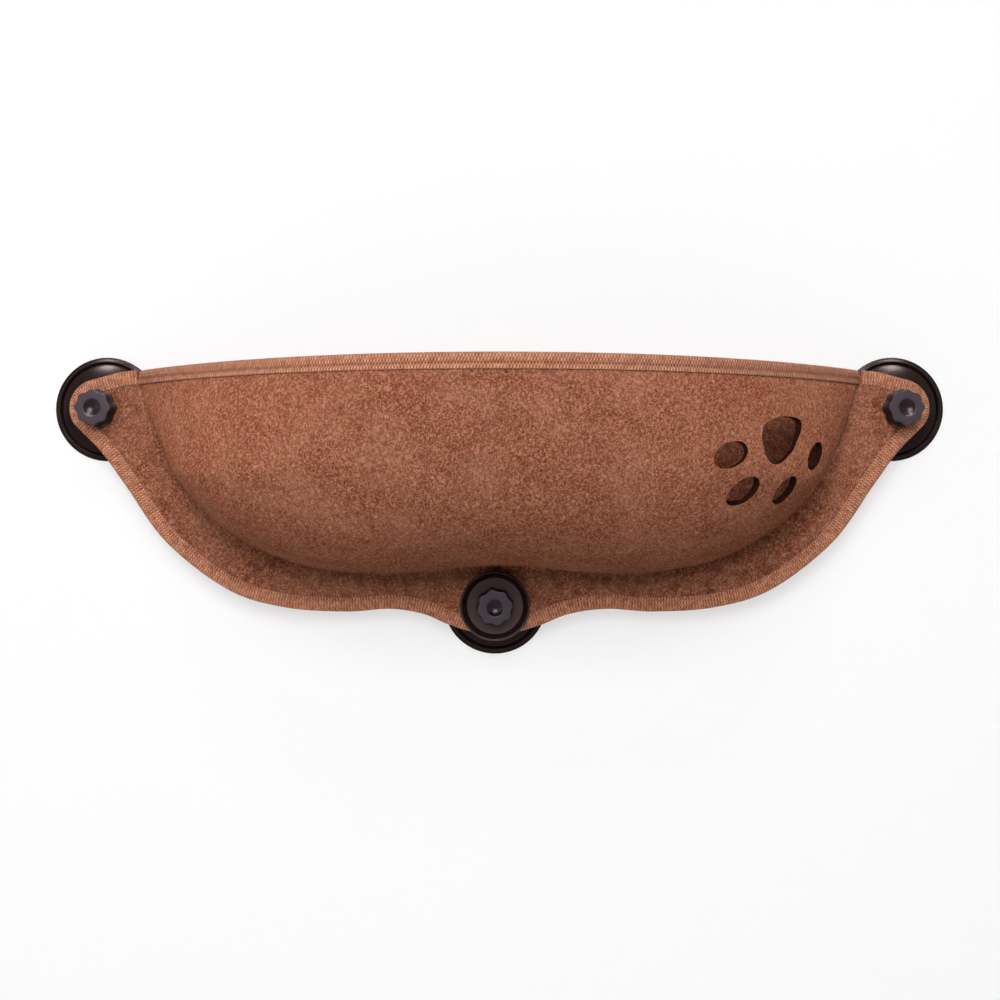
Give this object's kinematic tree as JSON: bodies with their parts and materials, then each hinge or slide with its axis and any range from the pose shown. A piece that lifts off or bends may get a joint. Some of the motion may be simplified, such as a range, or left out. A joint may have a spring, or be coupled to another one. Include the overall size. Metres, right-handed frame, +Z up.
{
  "type": "window mounted cat perch",
  "caption": "Felt half-bowl pet perch that hangs on a window by suction cups with screwed thumb knobs, with a bound rim and paw-shaped cut-outs.",
  "frame": {"origin": "on the plane of the window glass, halfway between the axes of the two upper suction cups", "axes": "+X along the perch, +Y into the glass and away from the room, +Z up; the pod stands out towards -Y"},
  "size_m": [0.72, 0.2421, 0.2406],
  "materials": {
    "felt": "matte brown needle felt",
    "tape": "matte brown twill tape",
    "cup_rubber": "glossy black",
    "steel": "zinc plated",
    "black_plastic": "satin black",
    "knob_plastic": "satin dark grey",
    "brass": "turned"
  },
  "bodies": {
    "hanger": {"back_panel": "felt", "pod_shell": "felt", "edge_binding": "tape", "top_binding": "tape", "rim_binding": "tape", "rim_wire": "steel", "suction_cup_left": "cup_rubber", "suction_cup_right": "cup_rubber", "suction_cup_lower": "cup_rubber", "stud_left": "steel", "stud_right": "steel", "stud_lower": "steel"},
    "washer_body_left": {"washer_left": "black_plastic"},
    "knob_body_left": {"knob_left": "knob_plastic", "knob_insert_left": "brass"},
    "washer_body_right": {"washer_right": "black_plastic"},
    "knob_body_right": {"knob_right": "knob_plastic", "knob_insert_right": "brass"},
    "clamp_disc_body": {"clamp_disc_lower": "black_plastic"},
    "knob_body_lower": {"knob_lower": "knob_plastic", "knob_insert_lower": "brass"}
  },
  "joints": [
    {"name": "washer_travel_left", "type": "slide", "parent": "hanger", "child": "washer_body_left", "axis": [0, -1, 0], "range_m": [0, 0.0126]},
    {"name": "knob_turn_left", "type": "hinge", "parent": "washer_body_left", "child": "knob_body_left", "pos_m": [-0.318, -0.035, 0], "axis": [0, -1, 0], "range_deg": [0, 3600]},
    {"name": "washer_travel_right", "type": "slide", "parent": "hanger", "child": "washer_body_right", "axis": [0, -1, 0], "range_m": [0, 0.0126]},
    {"name": "knob_turn_right", "type": "hinge", "parent": "washer_body_right", "child": "knob_body_right", "pos_m": [0.318, -0.035, 0], "axis": [0, -1, 0], "range_deg": [0, 3600]},
    {"name": "washer_travel_lower", "type": "slide", "parent": "hanger", "child": "clamp_disc_body", "axis": [0, -1, 0], "range_m": [0, 0.0126]},
    {"name": "knob_turn_lower", "type": "hinge", "parent": "clamp_disc_body", "child": "knob_body_lower", "pos_m": [-0.0036, -0.035, -0.1566], "axis": [0, -1, 0], "range_deg": [0, 3600]}
  ],
  "couplings": [
    {"joint": "washer_travel_left", "follows": "knob_turn_left", "m_per_rad": 0.00019894},
    {"joint": "washer_travel_right", "follows": "knob_turn_right", "m_per_rad": 0.00019894},
    {"joint": "washer_travel_lower", "follows": "knob_turn_lower", "m_per_rad": 0.00019894}
  ]
}
